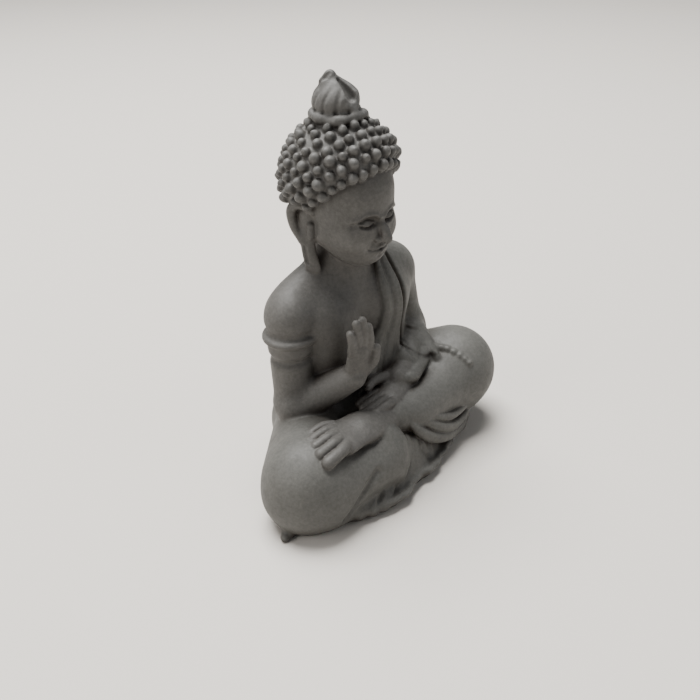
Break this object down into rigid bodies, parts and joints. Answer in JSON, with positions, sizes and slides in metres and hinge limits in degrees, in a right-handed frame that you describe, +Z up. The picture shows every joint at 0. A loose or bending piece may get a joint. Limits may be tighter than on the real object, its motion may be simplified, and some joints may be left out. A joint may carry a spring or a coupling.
{
  "type": "buddha statue",
  "caption": "Small seated figurine in cast stone resin, legs crossed, one hand raised in blessing and one open in the lap, to stand on a shelf or altar.",
  "frame": {"origin": "middle of the flat underside, on the table", "axes": "+Z up through the finial, the figure faces -Y, and its left side is towards +X"},
  "size_m": [0.041, 0.0236, 0.05],
  "materials": {
    "body": "semi-matte cast stone resin",
    "robe": "semi-matte cast stone resin",
    "hair": "semi-matte cast stone resin"
  },
  "bodies": {
    "root": {"base_hem": "robe", "right_thigh": "robe", "left_thigh": "robe", "hips": "robe", "right_calf": "robe", "left_calf": "robe", "left_foot": "body", "left_toes": "body", "skirt_apron": "robe", "skirt_swags": "robe", "torso": "body", "neck": "body", "robe_band": "robe", "robe_back": "robe", "right_shoulder": "body", "right_upper_arm": "body", "right_armlet": "body", "right_forearm": "body", "right_palm": "body", "right_fingers": "body", "right_thumb": "body", "left_sleeve": "robe", "left_cuff": "robe", "left_palm": "body", "left_fingers": "body", "left_thumb": "body", "hair_cap": "hair", "head": "body", "right_ear": "body", "left_ear": "body", "crown_mound": "hair", "finial_ring": "hair", "finial_bud": "hair", "hair_curls": "hair"}
  },
  "joints": []
}
